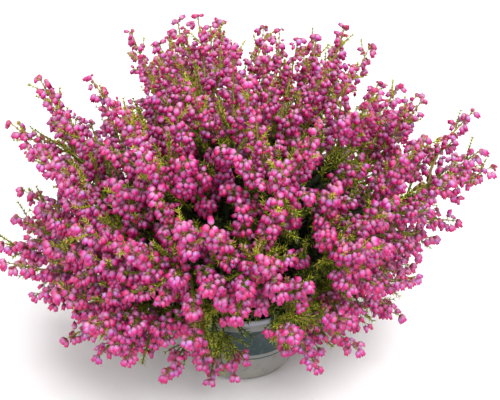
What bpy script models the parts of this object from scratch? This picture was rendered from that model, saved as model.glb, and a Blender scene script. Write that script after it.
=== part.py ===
"""A potted heather: a squat plastic pot, its soil, leafy branches and sprays of bell flowers.

Metres, +Z up. The origin is on the pot's axis, at the plane that the pot stands on, and the
side that the pot is seen from is -Y. Fourteen leafy branches stand in plain holes in the soil.
Each forks into three shoots, and each shoot ends just short of a flower head of three spires.
"""
import math
import random

import bmesh
import bpy
import numpy as np
from mathutils import Matrix, Quaternion, Vector

# Pot: turned profiles as (radius, height), outside from the base up and inside from the lip down
POT_SIDES = 30
POT_OUTSIDE = [(0.0, 0.0), (0.0360, 0.0), (0.0412, 0.0028), (0.0452, 0.0085), (0.0485, 0.0180),
               (0.0506, 0.0330), (0.0514, 0.0660)]
POT_LIP = [(0.0525, 0.0668), (0.0525, 0.0698), (0.0518, 0.0710), (0.0506, 0.0710), (0.0499, 0.0698)]
POT_INSIDE = [(0.0492, 0.0330), (0.0471, 0.0180), (0.0438, 0.0085), (0.0380, 0.0016), (0.0, 0.0016)]
DRAIN_RADIUS = 0.0035
DRAIN_RING = 0.0240
DRAIN_COUNT = 4
DRAIN_SIDES = 5
DRAIN_HEIGHTS = (-0.0020, 0.0018)

# Soil: it fills the pot with a gap all round, and is a little higher in the middle
GAP = 0.0003
SOIL_PROFILE = [(0.0, 0.0622), (0.0491, 0.0590), (0.0488, 0.0330), (0.0434, 0.0085),
                (0.0376, 0.0019), (0.0, 0.0019)]
HOLE_HEIGHTS = (0.0420, 0.0700)
HOLE_RADIUS = 0.0032
HOLE_SIDES = 6

# Branches: where they stand, how thick they are, and how far out they fork
CROWN = np.array([0.0, 0.0, 0.0620])
OUTER_RING = 0.0220
INNER_RING = 0.0080
STEM_HALF = 0.0024
STEM_FOOT = 0.0200
STEM_UPRIGHT = 0.0450
STEM_STATIONS = (0.55, 0.80)
SHOOT_HALF = 0.0015
SHOOT_END_HALF = 0.0012
FORK_OUT = 0.0620
FORK_RISE = 0.0160
FORK_LONG = 0.0040
ELBOW = 0.0050
LEAVING_PULL = 0.30
ARRIVING_PULL = 0.40

# Needles: rings of four on the shoots, at true size
NEEDLE_LONG = 0.0058
NEEDLE_LEAN = 0.0026
NEEDLE_BASE = 0.0017
RING_LONG = 0.0016
RING_TWIST = math.radians(45.0)
RING_PITCH = 0.0205
RING_FROM = 0.24
RING_TO = 0.93

# Flower heads: a stub, three spires that leave its sides, and bells in relief on the spires
SPREAD = 0.0220
TIP_SPREAD = 1.25
ELBOW_AT = 0.30
ANGLE_RANGE = (-12.0, 12.0)
SPREAD_RANGE = (0.90, 1.15)
LONG_RANGE = (0.82, 1.08)
STUB_HALF = 0.0021
STUB_LONG = 0.0060
SPIRE_STATIONS = [0.16, 0.33, 0.50, 0.67, 0.84, 1.0]
SPIRE_HALVES = [0.0034, 0.0055, 0.0061, 0.0060, 0.0052, 0.0032]
BELL_HEIGHTS = [0.0042, 0.0056, 0.0062, 0.0058, 0.0048]
TIP_BELL = 0.0060
TIP_BACK = 0.0040
BELL_DROOP = 0.0024
SPIRE_TWIST = math.radians(45.0)
TOP_BUD = 0.0050

# A branch's three heads: lift over the way to them and turn about their axis (degrees), length, sag
OUTER_ROWS = ("upper", "middle", "lower")
INNER_ROWS = ("top", "side_a", "side_b")
LIFT = {"upper": 10.0, "middle": 6.0, "lower": -8.0, "top": 0.0, "side_a": 4.0, "side_b": 4.0}
HEAD_LONG = {"upper": 0.070, "middle": 0.070, "lower": 0.062, "top": 0.070, "side_a": 0.070, "side_b": 0.070}
TURN = {"upper": 0.0, "middle": 90.0, "lower": 0.0, "top": 30.0, "side_a": 0.0, "side_b": 60.0}
SAG = {"lower": 0.010}
NEIGHBOUR_TURN = 60.0

# Eleven outer branches, round from the right: azimuth, lean from upright (degrees), reach (mm)
OUTER_BRANCHES = [
    [(-4, 46, 216), (11, 58, 256), (-5, 76, 147)],
    [(28, 44, 236), (43, 62, 236), (28, 80, 184)],
    [(58, 43, 262), (75, 62, 232), (60, 80, 200)],
    [(92, 42, 262), (108, 62, 235), (92, 80, 205)],
    [(115, 44, 260), (139, 62, 235), (124, 80, 205)],
    [(160, 50, 260), (173, 71, 224), (155, 83, 205)],
    [(187, 44, 228), (195, 64, 204), (207, 79, 164)],
    [(214, 44, 212), (221, 65, 190), (236, 75, 127)],
    [(243, 44, 212), (254, 60, 164), (256, 97, 94)],
    [(274, 42, 212), (293, 63, 168), (306, 85, 94)],
    [(312, 43, 212), (335, 58, 169), (321, 72, 137)],
]
# The two heads that hang over the front of the pot are shorter than this, and small
SMALL_REACH = 100
SMALL_SIZE = 0.62
SMALL_LIFT = -30.0

# Three inner branches: a head near the top and one to each side of it
INNER_BRANCHES = [
    [(26, 12, 230), (56, 27, 243), (-4, 27, 243)],
    [(148, 12, 245), (178, 25, 234), (118, 27, 245)],
    [(258, 12, 245), (288, 27, 245), (228, 27, 245)],
]

SEED = 7


def compass(azimuth, lean):
    """Unit vector at an azimuth from +X towards +Y and a lean from upright, in degrees."""
    around, down = math.radians(azimuth), math.radians(lean)
    return np.array([math.cos(around) * math.sin(down), math.sin(around) * math.sin(down), math.cos(down)])


def unit(vector):
    """The vector at length one."""
    return vector / np.linalg.norm(vector)


def bezier(points, t):
    """The point at t on the Bezier curve of these control points."""
    points = [np.asarray(point, float) for point in points]
    while len(points) > 1:
        points = [a * (1 - t) + b * t for a, b in zip(points, points[1:])]
    return points[0]


def bezier_heading(points, t):
    """The unit direction at t on the Bezier curve of these control points."""
    steps = [np.asarray(b, float) - np.asarray(a, float) for a, b in zip(points, points[1:])]
    return unit(bezier(steps, t))


def plan_head(name, azimuth, lean, reach, lift, long, turn, draw, size=1.0, sag=0.0):
    """Where a flower head starts, its axis, and the curves of its three spires."""
    axis = compass(azimuth, lean - lift)
    base = CROWN + compass(azimuth, lean) * reach - axis * long
    side = np.array([-math.sin(math.radians(azimuth)), math.cos(math.radians(azimuth)), 0.0])
    over = np.cross(side, axis)
    spires = []
    for index in range(3):
        angle = math.radians(turn + 120.0 * index + draw.uniform(*ANGLE_RANGE))
        out = math.cos(angle) * side + math.sin(angle) * over
        reach_out = SPREAD * size * draw.uniform(*SPREAD_RANGE)
        spire_long = long * draw.uniform(*LONG_RANGE)
        start = base + axis * STUB_LONG
        elbow = base + axis * ELBOW_AT * long + out * reach_out
        tip = base + axis * spire_long + out * reach_out * TIP_SPREAD - np.array([0.0, 0.0, sag])
        spires.append({"out": out, "curve": [start, elbow, tip]})
    return {"name": name, "base": base, "axis": axis, "spires": spires, "size": size}


def plan_branch(name, azimuth, ring, heads, sideways):
    """Where a branch stands and forks, and the curves of its stem and three shoots."""
    foot = compass(azimuth, 90.0) * ring + np.array([0.0, 0.0, HOLE_HEIGHTS[0] + GAP])
    mean = unit(np.mean([head["base"] - CROWN for head in heads], axis=0))
    fork = CROWN + mean * FORK_OUT + np.array([0.0, 0.0, FORK_RISE])
    stem = [foot, foot + np.array([0.0, 0.0, STEM_UPRIGHT]), fork]
    lead = bezier_heading(stem, 1.0)
    side = np.array([-math.sin(math.radians(azimuth)), math.cos(math.radians(azimuth)), 0.0])
    up = unit(np.cross(lead, side))
    if up[2] < 0:
        up = -up
    leaving = [side, -side] if sideways else [up, -up]
    shoots = []
    ways = [np.zeros(3)] + leaving if sideways else [leaving[0], np.zeros(3), leaving[1]]
    for head, way in zip(heads, ways):
        heading = unit(lead + way)
        start = fork + way * (STEM_HALF + ELBOW) + lead * (ELBOW if way.any() else FORK_LONG)
        end = head["base"] - head["axis"] * GAP
        span = np.linalg.norm(end - start)
        curve = [start, start + heading * span * LEAVING_PULL, end - head["axis"] * span * ARRIVING_PULL, end]
        shoots.append({"way": way, "heading": heading, "curve": curve, "head": head})
    return {"name": name, "azimuth": azimuth, "stem": stem, "fork": fork, "lead": lead, "shoots": shoots}


def plan_plant():
    """All the branches with their heads, in the order that they are drawn."""
    draw = random.Random(SEED)
    branches = []
    for number, row_places in enumerate(OUTER_BRANCHES + INNER_BRANCHES, 1):
        inner = number > len(OUTER_BRANCHES)
        neighbour_turn = 0.0 if inner or number % 2 else NEIGHBOUR_TURN
        heads = []
        for row, (azimuth, lean, reach) in zip(INNER_ROWS if inner else OUTER_ROWS, row_places):
            small = reach < SMALL_REACH
            size = SMALL_SIZE if small else 1.0
            lift = SMALL_LIFT if small else LIFT[row]
            heads.append(plan_head(f"blooms_{number:02d}_{row}", azimuth, lean, reach / 1000, lift,
                                   HEAD_LONG[row] * size, TURN[row] + neighbour_turn, draw, size,
                                   SAG.get(row, 0.0) * size))
        azimuth = sum(place[0] for place in row_places) / len(row_places)
        ring = INNER_RING if inner else OUTER_RING
        branches.append(plan_branch(f"branch_{number:02d}", azimuth, ring, heads, inner))
    return branches


def clear_scene():
    """Remove whatever the file held before."""
    for item in list(bpy.data.objects):
        bpy.data.objects.remove(item, do_unlink=True)


def make_material(name, colour, roughness):
    """A plain Principled material."""
    material = bpy.data.materials.new(name)
    material.use_nodes = True
    shader = material.node_tree.nodes["Principled BSDF"]
    shader.inputs["Base Color"].default_value = (*colour, 1.0)
    shader.inputs["Roughness"].default_value = roughness
    shader.inputs["Metallic"].default_value = 0.0
    return material


def add_object(name, bm, material):
    """Close a bmesh into an object with its faces pointing out."""
    bmesh.ops.recalc_face_normals(bm, faces=bm.faces[:])
    mesh = bpy.data.meshes.new(name)
    bm.to_mesh(mesh)
    bm.free()
    mesh.materials.append(material)
    item = bpy.data.objects.new(name, mesh)
    bpy.context.collection.objects.link(item)
    return item


def turn_profile(bm, profile):
    """Spin a profile of (radius, height) points once round the pot's axis."""
    points = [bm.verts.new((radius, 0.0, height)) for radius, height in profile]
    edges = [bm.edges.new(pair) for pair in zip(points, points[1:])]
    bmesh.ops.spin(bm, geom=points + edges, cent=(0, 0, 0), axis=(0, 0, 1), dvec=(0, 0, 0),
                   angle=math.tau, steps=POT_SIDES, use_merge=True)
    bmesh.ops.remove_doubles(bm, verts=bm.verts[:], dist=1e-6)


def cut_plain_holes(item, places, radius, heights, sides):
    """Cut upright round holes through or into an object, with all the cutters in one mesh."""
    low, high = heights
    bm = bmesh.new()
    for x, y in places:
        middle = Matrix.Translation((x, y, (low + high) / 2))
        bmesh.ops.create_cone(bm, cap_ends=True, segments=sides, radius1=radius, radius2=radius,
                              depth=high - low, matrix=middle)
    cutter = add_object(item.name + "_cutter", bm, item.data.materials[0])
    cutter.hide_render = True
    cutter.display_type = "WIRE"
    cut = item.modifiers.new("holes", "BOOLEAN")
    cut.operation = "DIFFERENCE"
    cut.solver = "EXACT"
    cut.object = cutter


def make_pot(material):
    """The pot: one thin turned wall with a rolled lip, and drain holes in its floor."""
    bm = bmesh.new()
    turn_profile(bm, POT_OUTSIDE + POT_LIP + POT_INSIDE)
    pot = add_object("pot", bm, material)
    turns = [math.tau * (index + 0.5) / DRAIN_COUNT for index in range(DRAIN_COUNT)]
    places = [(DRAIN_RING * math.cos(turn), DRAIN_RING * math.sin(turn)) for turn in turns]
    cut_plain_holes(pot, places, DRAIN_RADIUS, DRAIN_HEIGHTS, DRAIN_SIDES)
    return pot


def make_soil(branches, material):
    """The soil and roots, one plug that fills the pot, with a plain hole for each stem."""
    bm = bmesh.new()
    turn_profile(bm, SOIL_PROFILE)
    soil = add_object("soil", bm, material)
    places = [tuple(branch["stem"][0][:2]) for branch in branches]
    cut_plain_holes(soil, places, HOLE_RADIUS, HOLE_HEIGHTS, HOLE_SIDES)
    return soil


def grow(bm, face, place, heading, half, twist=0.0):
    """Extrude an end face to its next station; return the new end and the sides made."""
    place, heading = Vector(place), Vector(heading)
    middle = face.calc_center_median()
    turn = face.normal.rotation_difference(heading)
    spin = Quaternion(heading, twist)
    end = bmesh.ops.extrude_discrete_faces(bm, faces=[face])["faces"][0]
    for corner in end.verts:
        arm = spin @ (turn @ (corner.co - middle))
        corner.co = place + arm.normalized() * half
    end.normal_update()
    sides = [side for edge in end.edges for side in edge.link_faces if side is not end]
    return end, sides


def raise_points(bm, faces, middle, height, shift):
    """Poke each face and pull its new point away from the middle of the stem."""
    for point in bmesh.ops.poke(bm, faces=faces)["verts"]:
        away = (point.co - Vector(middle)).normalized()
        point.co += away * height + Vector(shift)


def start_prism(bm, sides, half, long, base, axis, facing):
    """A short closed prism on an axis, with one side turned to face a direction."""
    axis, facing = Vector(axis), Vector(facing)
    across = axis.cross(facing).normalized()
    facing = across.cross(axis)
    frame = Matrix((facing, across, axis)).transposed().to_4x4()
    first_side = math.pi / 2 - math.pi / sides
    place = Matrix.Translation(Vector(base) + axis * long / 2)
    bmesh.ops.create_cone(bm, cap_ends=True, segments=sides, radius1=half, radius2=half, depth=long,
                          matrix=place @ frame @ Matrix.Rotation(-first_side, 4, "Z"))
    bm.normal_update()


def facing_side(faces, direction):
    """The face that points most nearly in a direction."""
    direction = Vector(direction)
    return max(faces, key=lambda face: face.normal.dot(direction))


def make_blooms(head, material):
    """A flower head: a stub and three spires covered with nodding bells in relief."""
    bm = bmesh.new()
    size = head["size"]
    start_prism(bm, 3, STUB_HALF, STUB_LONG, head["base"], head["axis"], head["spires"][0]["out"])
    stub_sides = [face for face in bm.faces if len(face.verts) == 4]
    top = facing_side(bm.faces, head["axis"])
    starts = [facing_side(stub_sides, spire["out"]) for spire in head["spires"]]
    raise_points(bm, [top], head["base"], TOP_BUD * size, (0, 0, 0))
    droop = (0.0, 0.0, -BELL_DROOP * size)
    for spire, end in zip(head["spires"], starts):
        curve = spire["curve"]
        before = curve[0]
        bells = []
        for step, (t, half) in enumerate(zip(SPIRE_STATIONS, SPIRE_HALVES)):
            place = bezier(curve, t)
            twist = SPIRE_TWIST if step else 0.0
            end, sides = grow(bm, end, place, bezier_heading(curve, t), half * size, twist)
            if step:
                bells.append((sides, (before + place) / 2, BELL_HEIGHTS[step - 1] * size))
            before = place
        bells.append(([end], before - bezier_heading(curve, 1.0) * TIP_BACK, TIP_BELL * size))
        for faces, middle, height in bells:
            raise_points(bm, faces, middle, height, droop)
    return add_object(head["name"], bm, material)


def grow_shoot(bm, end, shoot):
    """One shoot from the fork to just short of its flower head, with rings of needles."""
    curve = shoot["curve"]
    span = sum(np.linalg.norm(b - a) for a, b in zip(curve, curve[1:]))
    ring_step = RING_LONG / span
    rings = max(1, round(span * (RING_TO - RING_FROM) / RING_PITCH))
    if shoot["way"].any():
        end, _ = grow(bm, end, curve[0], shoot["heading"], SHOOT_HALF)
    needles = []
    for ring in range(rings):
        t = RING_FROM + (RING_TO - RING_FROM) * (ring + 0.5) / rings
        low, high = t - ring_step / 2, t + ring_step / 2
        twist = RING_TWIST if ring else 0.0
        end, _ = grow(bm, end, bezier(curve, low), bezier_heading(curve, low), NEEDLE_BASE, twist)
        end, sides = grow(bm, end, bezier(curve, high), bezier_heading(curve, high), NEEDLE_BASE)
        needles.append((sides, bezier(curve, t), bezier_heading(curve, t)))
    grow(bm, end, curve[-1], shoot["head"]["axis"], SHOOT_END_HALF)
    for sides, middle, heading in needles:
        raise_points(bm, sides, middle, NEEDLE_LONG, heading * NEEDLE_LEAN)


def make_branch(branch, material):
    """A leafy branch: a bare stem from its hole in the soil, a fork and three shoots."""
    bm = bmesh.new()
    stem, lead = branch["stem"], branch["lead"]
    facing = compass(branch["azimuth"], 90.0)
    start_prism(bm, 4, STEM_HALF, STEM_FOOT, stem[0], (0, 0, 1), facing)
    end = facing_side(bm.faces, (0, 0, 1))
    for t in STEM_STATIONS:
        end, _ = grow(bm, end, bezier(stem, t), bezier_heading(stem, t), STEM_HALF)
    end, _ = grow(bm, end, branch["fork"] - lead * FORK_LONG / 2, lead, STEM_HALF)
    end, sides = grow(bm, end, branch["fork"] + lead * FORK_LONG / 2, lead, STEM_HALF)
    bm.normal_update()
    starts = [facing_side(sides, shoot["way"]) if shoot["way"].any() else end for shoot in branch["shoots"]]
    for start, shoot in zip(starts, branch["shoots"]):
        grow_shoot(bm, start, shoot)
    return add_object(branch["name"], bm, material)


def main():
    """Build every piece of the potted heather."""
    clear_scene()
    pot_grey = make_material("pot_plastic", (0.26, 0.27, 0.25), 0.55)
    peat = make_material("peat", (0.020, 0.014, 0.010), 0.95)
    leaf = make_material("needle_green", (0.16, 0.22, 0.05), 0.60)
    petal = make_material("bell_pink", (0.72, 0.10, 0.34), 0.50)
    branches = plan_plant()
    make_pot(pot_grey)
    make_soil(branches, peat)
    for branch in branches:
        make_branch(branch, leaf)
        for shoot in branch["shoots"]:
            make_blooms(shoot["head"], petal)


main()
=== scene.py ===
# %% [markdown]
# # A potted heather
# This lesson dresses a plain frame of solids as a small flowering heather: a squat grey pot, peat,
# woody branches with needle leaves, and spires crowded with nodding pink bells. The frame already
# holds every branch and every flower head at its real size and place, so each fine piece made here
# stands exactly where its plain solid stands. Lengths are metres, +Z is up, and the origin is on the
# pot's axis at the table.

# %% Load the frame and keep its meshes
import math
import random

import bmesh
import bpy
import numpy as np
from mathutils import Matrix, Vector
from mathutils import noise as lumps


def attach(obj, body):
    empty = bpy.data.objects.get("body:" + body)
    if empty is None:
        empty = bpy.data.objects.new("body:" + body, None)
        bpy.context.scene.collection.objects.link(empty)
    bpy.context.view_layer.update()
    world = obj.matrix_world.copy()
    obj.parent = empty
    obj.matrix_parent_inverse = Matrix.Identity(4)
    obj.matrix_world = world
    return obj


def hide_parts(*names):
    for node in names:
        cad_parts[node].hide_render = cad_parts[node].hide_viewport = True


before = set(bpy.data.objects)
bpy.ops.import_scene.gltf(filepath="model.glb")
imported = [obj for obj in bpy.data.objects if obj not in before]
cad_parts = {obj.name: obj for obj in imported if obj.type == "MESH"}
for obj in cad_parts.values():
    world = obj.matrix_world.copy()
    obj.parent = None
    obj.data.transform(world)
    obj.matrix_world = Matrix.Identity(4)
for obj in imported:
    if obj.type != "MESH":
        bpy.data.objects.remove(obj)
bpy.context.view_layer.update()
print("nodes in the frame:", len(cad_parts))

# %% [markdown]
# ## The camera
# The picture looks down on the plant at about thirty degrees. A longish lens from a metre away keeps
# the pot's rim a calm ellipse. Its place is worked out from two facts: the angle at which the rim is
# seen, which its ellipse gives, and where the rim's middle falls in the frame.

# %% Place the camera
FRAME_PIXELS = (500, 400)
RIM_PIXEL = (242.3, 289.0)
RIM_HEIGHT = 0.0710
RIM_DISTANCE = 1.12
RIM_ANGLE = math.radians(33.0)
FOCAL_PIXELS = 1256.0
SENSOR = 36.0

aim_down = RIM_ANGLE - math.atan((RIM_PIXEL[1] - FRAME_PIXELS[1] / 2) / FOCAL_PIXELS)
aside = (FRAME_PIXELS[0] / 2 - RIM_PIXEL[0]) / FOCAL_PIXELS * RIM_DISTANCE
camera_data = bpy.data.cameras.new("camera")
camera_data.sensor_width = SENSOR
camera_data.lens = FOCAL_PIXELS * SENSOR / FRAME_PIXELS[0]
camera = bpy.data.objects.new("camera", camera_data)
bpy.context.collection.objects.link(camera)
back, up = RIM_DISTANCE * math.cos(RIM_ANGLE), RIM_DISTANCE * math.sin(RIM_ANGLE)
camera.location = (aside, -back, RIM_HEIGHT + up)
camera.rotation_euler = (math.pi / 2 - aim_down, 0.0, 0.0)
bpy.context.scene.camera = camera
print("lens", round(camera_data.lens, 1), "mm, looking down", round(math.degrees(aim_down), 1), "degrees")

# %% [markdown]
# ## The floor and the light
# A plain pale floor and large soft lamps, as in a studio. The main lamp stands high in front and a
# little to the right, because the right side of the pot is the lit one. The world fills the shadows.

# %% Lay the floor
FLOOR_HALF = 5.0


def principled(name, colour=(0.8, 0.8, 0.8), roughness=0.5):
    """A material with one Principled shader; returns the material, its tree and the shader."""
    material = bpy.data.materials.new(name)
    material.use_nodes = True
    shader = material.node_tree.nodes["Principled BSDF"]
    shader.inputs["Base Color"].default_value = (*colour, 1.0)
    shader.inputs["Roughness"].default_value = roughness
    return material, material.node_tree, shader


def add_object(name, mesh):
    """Put a mesh into the scene as a piece at the origin."""
    piece = bpy.data.objects.new(name, mesh)
    bpy.context.collection.objects.link(piece)
    return piece


bm = bmesh.new()
bmesh.ops.create_grid(bm, x_segments=1, y_segments=1, size=FLOOR_HALF)
floor_mesh = bpy.data.meshes.new("floor")
bm.to_mesh(floor_mesh)
bm.free()
floor_mesh.materials.append(principled("floor_white", (0.90, 0.90, 0.90), 0.9)[0])
add_object("floor", floor_mesh)

# %% Hang the lamps
LAMPS = {
    "key": dict(at=(0.55, -0.95, 1.72), size=1.5, power=43.0),
    "fill": dict(at=(-1.1, -1.2, 0.8), size=1.2, power=11.0),
    "back": dict(at=(0.1, 1.2, 1.5), size=1.2, power=16.0),
}
WORLD_LIGHT = 0.73
PLANT_MIDDLE = Vector((0.0, 0.0, 0.15))

for name, lamp in LAMPS.items():
    data = bpy.data.lights.new(name, "AREA")
    data.size = lamp["size"]
    data.energy = lamp["power"]
    light = bpy.data.objects.new(name, data)
    bpy.context.collection.objects.link(light)
    light.location = lamp["at"]
    light.rotation_euler = (Vector(lamp["at"]) - PLANT_MIDDLE).to_track_quat("Z", "Y").to_euler()
world = bpy.data.worlds.new("studio")
world.use_nodes = True
background = world.node_tree.nodes["Background"]
background.inputs["Color"].default_value = (1.0, 1.0, 1.0, 1.0)
background.inputs["Strength"].default_value = WORLD_LIGHT
bpy.context.scene.world = world
bpy.context.scene.view_settings.view_transform = "Standard"
print("lamps", len(LAMPS))

# %% [markdown]
# ## Where the branches and the flower heads are
# The plan of the plant is the frame's own: three inner branches and eleven outer ones, each forking
# into three shoots, and each shoot ending in a head of three spires. The same few driving numbers and
# the same seeded draw give the same curves here as there, so fine and plain shapes agree.

# %% The plant's driving sizes
GAP = 0.0003
HOLE_FLOOR = 0.0420
CROWN = np.array([0.0, 0.0, 0.0620])
OUTER_RING = 0.0220
INNER_RING = 0.0080
STEM_HALF = 0.0024
STEM_UPRIGHT = 0.0450
FORK_OUT = 0.0620
FORK_RISE = 0.0160
FORK_LONG = 0.0040
ELBOW = 0.0050
LEAVING_PULL = 0.30
ARRIVING_PULL = 0.40
SPIRES = 3
SPREAD = 0.0220
TIP_SPREAD = 1.25
ELBOW_AT = 0.30
ANGLE_RANGE = (-12.0, 12.0)
SPREAD_RANGE = (0.90, 1.15)
LONG_RANGE = (0.82, 1.08)
STUB_LONG = 0.0060
OUTER_ROWS = ("upper", "middle", "lower")
INNER_ROWS = ("top", "side_a", "side_b")
LIFT = {"upper": 10.0, "middle": 6.0, "lower": -8.0, "top": 0.0, "side_a": 4.0, "side_b": 4.0}
HEAD_LONG = {"upper": 0.070, "middle": 0.070, "lower": 0.062, "top": 0.070, "side_a": 0.070, "side_b": 0.070}
TURN = {"upper": 0.0, "middle": 90.0, "lower": 0.0, "top": 30.0, "side_a": 0.0, "side_b": 60.0}
SAG = {"lower": 0.010}
NEIGHBOUR_TURN = 60.0
# Each outer branch's three heads: azimuth, lean from upright (degrees) and reach (mm)
OUTER_BRANCHES = [
    [(-4, 46, 216), (11, 58, 256), (-5, 76, 147)],
    [(28, 44, 236), (43, 62, 236), (28, 80, 184)],
    [(58, 43, 262), (75, 62, 232), (60, 80, 200)],
    [(92, 42, 262), (108, 62, 235), (92, 80, 205)],
    [(115, 44, 260), (139, 62, 235), (124, 80, 205)],
    [(160, 50, 260), (173, 71, 224), (155, 83, 205)],
    [(187, 44, 228), (195, 64, 204), (207, 79, 164)],
    [(214, 44, 212), (221, 65, 190), (236, 75, 127)],
    [(243, 44, 212), (254, 60, 164), (256, 97, 94)],
    [(274, 42, 212), (293, 63, 168), (306, 85, 94)],
    [(312, 43, 212), (335, 58, 169), (321, 72, 137)],
]
INNER_BRANCHES = [
    [(26, 12, 230), (56, 27, 243), (-4, 27, 243)],
    [(148, 12, 245), (178, 25, 234), (118, 27, 245)],
    [(258, 12, 245), (288, 27, 245), (228, 27, 245)],
]
# A head that reaches less than this (mm) is small and hangs down over the pot's rim
SMALL_REACH = 100
SMALL_SIZE = 0.62
SMALL_LIFT = -30.0
PLAN_SEED = 7


# %% Directions and curves
def compass(azimuth, lean):
    """Unit vector at an azimuth from +X towards +Y and a lean from upright, in degrees."""
    turn, down = math.radians(azimuth), math.radians(lean)
    return np.array([math.cos(turn) * math.sin(down), math.sin(turn) * math.sin(down), math.cos(down)])


def level_side(azimuth):
    """The level unit vector square to an azimuth in degrees."""
    turn = math.radians(azimuth)
    return np.array([-math.sin(turn), math.cos(turn), 0.0])


def unit(vector):
    """The vector at length one."""
    return vector / np.linalg.norm(vector)


def bezier(points, t):
    """The point at t on the Bezier curve of these control points."""
    points = [np.asarray(point, float) for point in points]
    while len(points) > 1:
        points = [a * (1 - t) + b * t for a, b in zip(points, points[1:])]
    return points[0]


def bezier_heading(points, t):
    """The unit direction at t on the Bezier curve of these control points."""
    steps = [np.asarray(b, float) - np.asarray(a, float) for a, b in zip(points, points[1:])]
    return unit(bezier(steps, t))


# %% Plan one flower head and one branch
def plan_head(name, azimuth, lean, far, lift, long, turn, draw, size, sag):
    """Where a flower head starts, its axis, and the curves of its three spires."""
    axis = compass(azimuth, lean - lift)
    base = CROWN + compass(azimuth, lean) * far - axis * long
    side = level_side(azimuth)
    over = np.cross(side, axis)
    spires = []
    for index in range(SPIRES):
        angle = math.radians(turn + 360.0 / SPIRES * index + draw.uniform(*ANGLE_RANGE))
        out = math.cos(angle) * side + math.sin(angle) * over
        reach_out = SPREAD * size * draw.uniform(*SPREAD_RANGE)
        spire_long = long * draw.uniform(*LONG_RANGE)
        start = base + axis * STUB_LONG
        elbow = base + axis * ELBOW_AT * long + out * reach_out
        tip = base + axis * spire_long + out * reach_out * TIP_SPREAD - np.array([0.0, 0.0, sag])
        spires.append([start, elbow, tip])
    return {"name": name, "base": base, "axis": axis, "spires": spires, "size": size}


def plan_branch(name, azimuth, ring, heads, sideways):
    """Where a branch stands and forks, and the curves of its stem and three shoots."""
    foot = compass(azimuth, 90.0) * ring + np.array([0.0, 0.0, HOLE_FLOOR + GAP])
    mean = unit(np.mean([head["base"] - CROWN for head in heads], axis=0))
    fork = CROWN + mean * FORK_OUT + np.array([0.0, 0.0, FORK_RISE])
    stem = [foot, foot + np.array([0.0, 0.0, STEM_UPRIGHT]), fork]
    lead = bezier_heading(stem, 1.0)
    side = level_side(azimuth)
    up = unit(np.cross(lead, side))
    if up[2] < 0:
        up = -up
    still = np.zeros(3)
    ways = [still, side, -side] if sideways else [up, still, -up]
    shoots = []
    for head, way in zip(heads, ways):
        heading = unit(lead + way)
        start = fork + way * (STEM_HALF + ELBOW) + lead * (ELBOW if way.any() else FORK_LONG)
        end = head["base"] - head["axis"] * GAP
        span = np.linalg.norm(end - start)
        curve = [start, start + heading * span * LEAVING_PULL, end - head["axis"] * span * ARRIVING_PULL, end]
        shoots.append({"curve": curve, "head": head})
    return {"name": name, "stem": stem, "fork": fork, "shoots": shoots}


# %% Plan the whole plant
def plan_plant():
    """All the branches with their heads, in the order that the frame draws them."""
    draw = random.Random(PLAN_SEED)
    branches = []
    for number, row_places in enumerate(OUTER_BRANCHES + INNER_BRANCHES, 1):
        inner = number > len(OUTER_BRANCHES)
        neighbour_turn = 0.0 if inner or number % 2 else NEIGHBOUR_TURN
        heads = []
        for row, (azimuth, lean, far) in zip(INNER_ROWS if inner else OUTER_ROWS, row_places):
            small = far < SMALL_REACH
            size = SMALL_SIZE if small else 1.0
            lift = SMALL_LIFT if small else LIFT[row]
            long, turn, sag = HEAD_LONG[row] * size, TURN[row] + neighbour_turn, SAG.get(row, 0.0) * size
            heads.append(plan_head(f"blooms_{number:02d}_{row}", azimuth, lean, far / 1000, lift,
                                   long, turn, draw, size, sag))
        azimuth = sum(place[0] for place in row_places) / len(row_places)
        ring = INNER_RING if inner else OUTER_RING
        branches.append(plan_branch(f"branch_{number:02d}", azimuth, ring, heads, inner))
    return branches


plant = plan_plant()
print("branches", len(plant), "heads", sum(len(branch["shoots"]) for branch in plant))

# %% [markdown]
# ## Small patterns that repeat
# A heather this size carries thousands of bells and tens of thousands of needles. Each kind is
# modelled once as a small closed mesh and is then copied by the hundred. A bell is a short profile
# spun round its axis: narrow at the stalk, full at the shoulder and drawn in at the neck. Every second
# point of its mouth is pulled out and down into a lobe. There are three grades of bell. The finest, at
# the tips, has eight sides and four lobes, and the plainest, deep in the plant, has five sides.
# Needles and stalks are three-sided spikes. Every pattern points along +Z from where it is attached,
# and is kept as arrays, so that a thousand copies are one sum.

# %% Spin a profile into a closed pattern
PATTERNS = {}
# The material slots of every piece of the plant
PETAL, LEAF = 0, 1
MERGE = 1e-7
SPIKE_SIDES = 3
LOBE_TONE = 0.93


def spun(profile, sides):
    """A closed bmesh from a profile of (radius, height) points that starts and ends on the axis."""
    bm = bmesh.new()
    points = [bm.verts.new((radius, 0.0, height)) for radius, height in profile]
    edges = [bm.edges.new(pair) for pair in zip(points, points[1:])]
    bmesh.ops.spin(bm, geom=points + edges, cent=(0, 0, 0), axis=(0, 0, 1), dvec=(0, 0, 0),
                   angle=math.tau, steps=sides, use_merge=True)
    bmesh.ops.remove_doubles(bm, verts=bm.verts[:], dist=MERGE)
    bmesh.ops.recalc_face_normals(bm, faces=bm.faces[:])
    return bm


def spike(radius, long):
    """A three-sided spike along +Z, closed at its base."""
    bm = bmesh.new()
    bmesh.ops.create_cone(bm, cap_ends=True, segments=SPIKE_SIDES, radius1=radius, radius2=0.0, depth=long,
                          matrix=Matrix.Translation((0, 0, long / 2)))
    bmesh.ops.remove_doubles(bm, verts=bm.verts[:], dist=MERGE)
    return bm


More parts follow.
